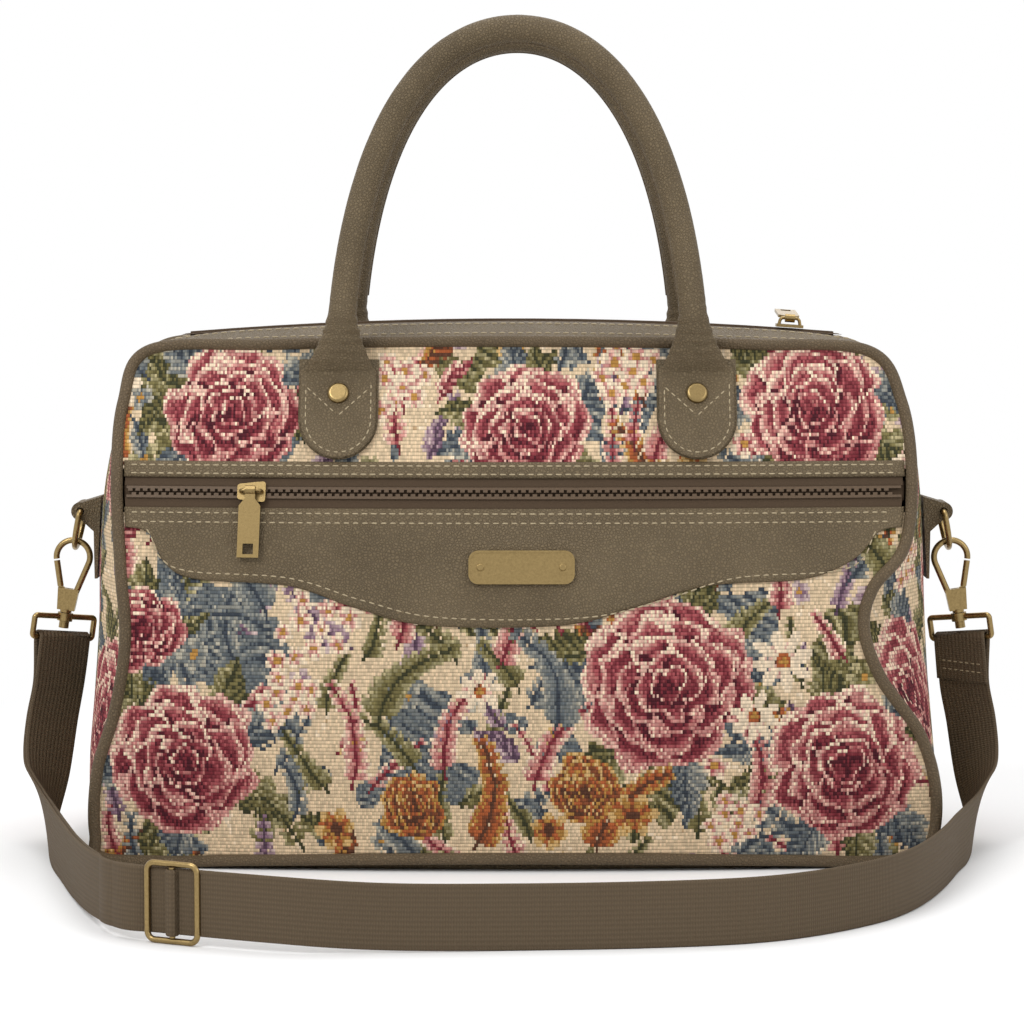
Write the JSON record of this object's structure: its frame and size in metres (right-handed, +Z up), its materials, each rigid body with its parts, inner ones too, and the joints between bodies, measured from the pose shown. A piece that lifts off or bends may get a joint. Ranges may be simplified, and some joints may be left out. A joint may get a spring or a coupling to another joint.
{
  "type": "carpet bag",
  "caption": "Tapestry travel bag with rolled handles, a zipped front pocket, side D-rings and a clip-on webbing shoulder strap.",
  "frame": {"origin": "middle of the base on the floor", "axes": "+Z up; the front with the zipped pocket faces -Y; +X to the viewer's right"},
  "size_m": [0.5379, 0.4089, 0.4505],
  "materials": {
    "tapestry": "woven floral tapestry",
    "leather": "fine-grained taupe leather",
    "webbing": "ribbed webbing",
    "zip_tape": "woven tape",
    "zip_teeth": "coil teeth",
    "brass": "antique brass plating",
    "lining": "plain weave",
    "board": "stiff sheet",
    "core": "cotton cord"
  },
  "bodies": {
    "bag": {"pocket_panel": "tapestry", "upper_front_panel": "tapestry", "back_panel": "tapestry", "front_piping": "leather", "back_piping": "leather", "left_gusset": "tapestry", "right_gusset": "tapestry", "base_panel": "leather", "base_board": "board", "lining": "lining", "pocket_lining": "lining", "pocket_binding": "leather", "pocket_yoke": "leather", "pocket_zip_tape_upper": "zip_tape", "pocket_zip_tape_lower": "zip_tape", "pocket_zip_teeth_upper": "zip_teeth", "pocket_zip_teeth_lower": "zip_teeth", "name_plate": "brass", "name_plate_pins": "brass", "front_handle": "leather", "back_handle": "leather", "front_handle_core": "core", "back_handle_core": "core", "front_handle_patches": "leather", "back_handle_patches": "leather", "front_handle_rivets": "brass", "back_handle_rivets": "brass", "top_strip_front": "leather", "top_strip_back": "leather", "top_zip_tape_front": "zip_tape", "top_zip_tape_back": "zip_tape", "top_zip_teeth_front": "zip_teeth", "top_zip_teeth_back": "zip_teeth", "left_loop_tab": "leather", "right_loop_tab": "leather"},
    "pocket_slider": {"pocket_zip_slider": "brass"},
    "pocket_pull": {"pocket_zip_pull": "brass"},
    "top_slider": {"top_zip_slider": "brass"},
    "top_pull": {"top_zip_pull": "brass"},
    "left_ring": {"left_d_ring": "brass"},
    "right_ring": {"right_d_ring": "brass"},
    "strap": {"shoulder_strap": "webbing", "left_swivel_eye": "brass", "right_swivel_eye": "brass"},
    "adjuster": {"adjuster_frame": "brass", "adjuster_bar": "brass", "strap_end_loop": "webbing"},
    "left_clip": {"left_hook": "brass", "left_hook_pin": "brass"},
    "right_clip": {"right_hook": "brass", "right_hook_pin": "brass"},
    "left_trigger": {"left_gate": "brass"},
    "right_trigger": {"right_gate": "brass"}
  },
  "joints": [
    {"name": "pocket_slider_slide", "type": "hinge", "parent": "bag", "child": "pocket_slider", "pos_m": [0, 1.4, 0.199], "axis": [0, 0, 1], "range_deg": [-2.2, 12.6]},
    {"name": "pocket_pull_swing", "type": "hinge", "parent": "pocket_slider", "child": "pocket_pull", "pos_m": [-0.13747, -0.08676, 0.20073], "axis": [-0.9958, 0.0921, 0], "range_deg": [0, 155]},
    {"name": "top_slider_slide", "type": "hinge", "parent": "bag", "child": "top_slider", "pos_m": [0, 0, -1.912], "axis": [0, 1, 0], "range_deg": [-8.2, 0.35]},
    {"name": "top_pull_swing", "type": "hinge", "parent": "top_slider", "child": "top_pull", "pos_m": [0.15237, 0, 0.28844], "axis": [0.9976, 0, -0.0689], "range_deg": [0, 165]},
    {"name": "left_ring_swing", "type": "hinge", "parent": "bag", "child": "left_ring", "pos_m": [-0.2365, 0, 0.183], "axis": [0, -1, 0], "range_deg": [-1, 1.5]},
    {"name": "right_ring_swing", "type": "hinge", "parent": "bag", "child": "right_ring", "pos_m": [0.2365, 0, 0.183], "axis": [0, 1, 0], "range_deg": [-1, 1.5]},
    {"name": "strap_swing", "type": "hinge", "parent": "bag", "child": "strap", "pos_m": [0, 0, 0.16619], "axis": [-1, 0, 0], "range_deg": [0, 95]},
    {"name": "adjuster_slide", "type": "slide", "parent": "strap", "child": "adjuster", "axis": [0.904, -0.4276, 0], "range_m": [0, 0.025]},
    {"name": "left_hook_swivel", "type": "hinge", "parent": "strap", "child": "left_clip", "pos_m": [-0.24051, 0, 0.16619], "axis": [-0.1478, 0, -0.989], "range_deg": [-20, 20]},
    {"name": "right_hook_swivel", "type": "hinge", "parent": "strap", "child": "right_clip", "pos_m": [0.24051, 0, 0.16619], "axis": [0.1478, 0, -0.989], "range_deg": [-20, 20]},
    {"name": "left_gate_swing", "type": "hinge", "parent": "left_clip", "child": "left_trigger", "pos_m": [-0.24417, 0, 0.13488], "axis": [0, 1, 0], "range_deg": [0, 18], "stiffness_Nm_per_rad": 0.02, "springref_deg": -17.19},
    {"name": "right_gate_swing", "type": "hinge", "parent": "right_clip", "child": "right_trigger", "pos_m": [0.24417, 0, 0.13488], "axis": [0, -1, 0], "range_deg": [0, 18], "stiffness_Nm_per_rad": 0.02, "springref_deg": -17.19}
  ]
}
